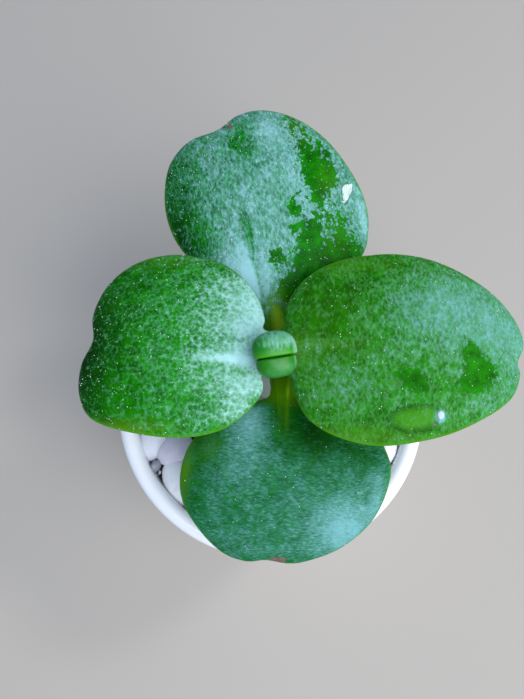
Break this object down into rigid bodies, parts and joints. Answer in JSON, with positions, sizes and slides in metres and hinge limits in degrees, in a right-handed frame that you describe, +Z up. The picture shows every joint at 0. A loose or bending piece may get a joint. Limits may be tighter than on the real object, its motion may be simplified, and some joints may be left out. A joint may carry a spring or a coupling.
{
  "type": "potted crassula",
  "caption": "Young crassula with broad fleshy round leaves in opposite pairs and a small bud, in a small white glazed pot dressed with pebbles.",
  "frame": {"origin": "middle of the pot's flat base, where it stands", "axes": "+Z up, +X towards the right upper leaf, +Y towards the back lower leaf"},
  "size_m": [0.0778, 0.0849, 0.0847],
  "materials": {
    "glaze": "gloss",
    "soil": "matte",
    "pebble": "satin",
    "stem": "satin",
    "leaf": "satin",
    "bud": "satin"
  },
  "bodies": {
    "root": {"pot": "glaze", "soil": "soil", "pebbles": "pebble", "stem": "stem", "leaf_left": "leaf", "leaf_right": "leaf", "leaf_back": "leaf", "leaf_front": "leaf", "bud_leaf_back": "bud", "bud_leaf_front": "bud"}
  },
  "joints": []
}
